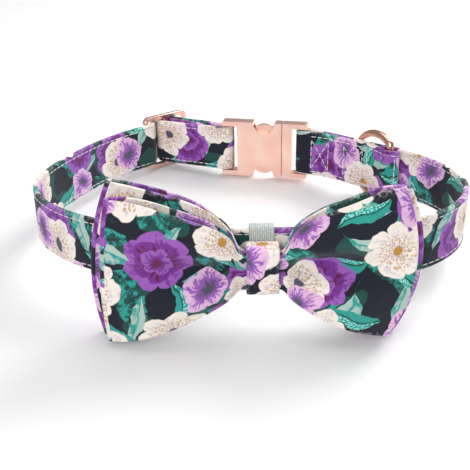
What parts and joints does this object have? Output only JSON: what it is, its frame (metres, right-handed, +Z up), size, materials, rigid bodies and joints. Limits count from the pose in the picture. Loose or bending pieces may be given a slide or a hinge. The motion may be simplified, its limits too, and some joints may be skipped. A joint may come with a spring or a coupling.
{
  "type": "pet bow tie collar",
  "caption": "Pet collar of flowered fabric webbing with a layered bow tie in front and rose gold side-release buckle, slide and leash ring behind.",
  "frame": {"origin": "centre of the collar's bounding box in plan, on the surface that it stands on", "axes": "+Z up from the surface, +X along the bow from its left wing to its right wing as seen from the front, +Y from the bow to the buckle, so the bow faces -Y"},
  "size_m": [0.1608, 0.1538, 0.0535],
  "materials": {
    "printed_cloth": "matte woven cotton, printed with flowers",
    "pale_elastic": "matte ribbed elastic",
    "rose_gold": "satin rose gold plating",
    "copper_gold": "polished copper rose gold plating"
  },
  "bodies": {
    "collar": {"neck_strap": "printed_cloth", "pocket_strap": "printed_cloth", "slide_strap": "printed_cloth", "buckle_socket": "rose_gold", "buckle_prongs": "rose_gold", "strap_slide": "rose_gold", "front_bow": "printed_cloth", "back_bow": "printed_cloth", "bow_knot": "printed_cloth", "strap_elastic": "pale_elastic"},
    "ring": {"leash_ring": "copper_gold"}
  },
  "joints": [
    {"name": "ring_swing", "type": "hinge", "parent": "collar", "child": "ring", "pos_m": [0.05913, 0.01972, 0.01714], "axis": [0, 0.0851, 0.9964], "range_deg": [-148, 1]}
  ]
}
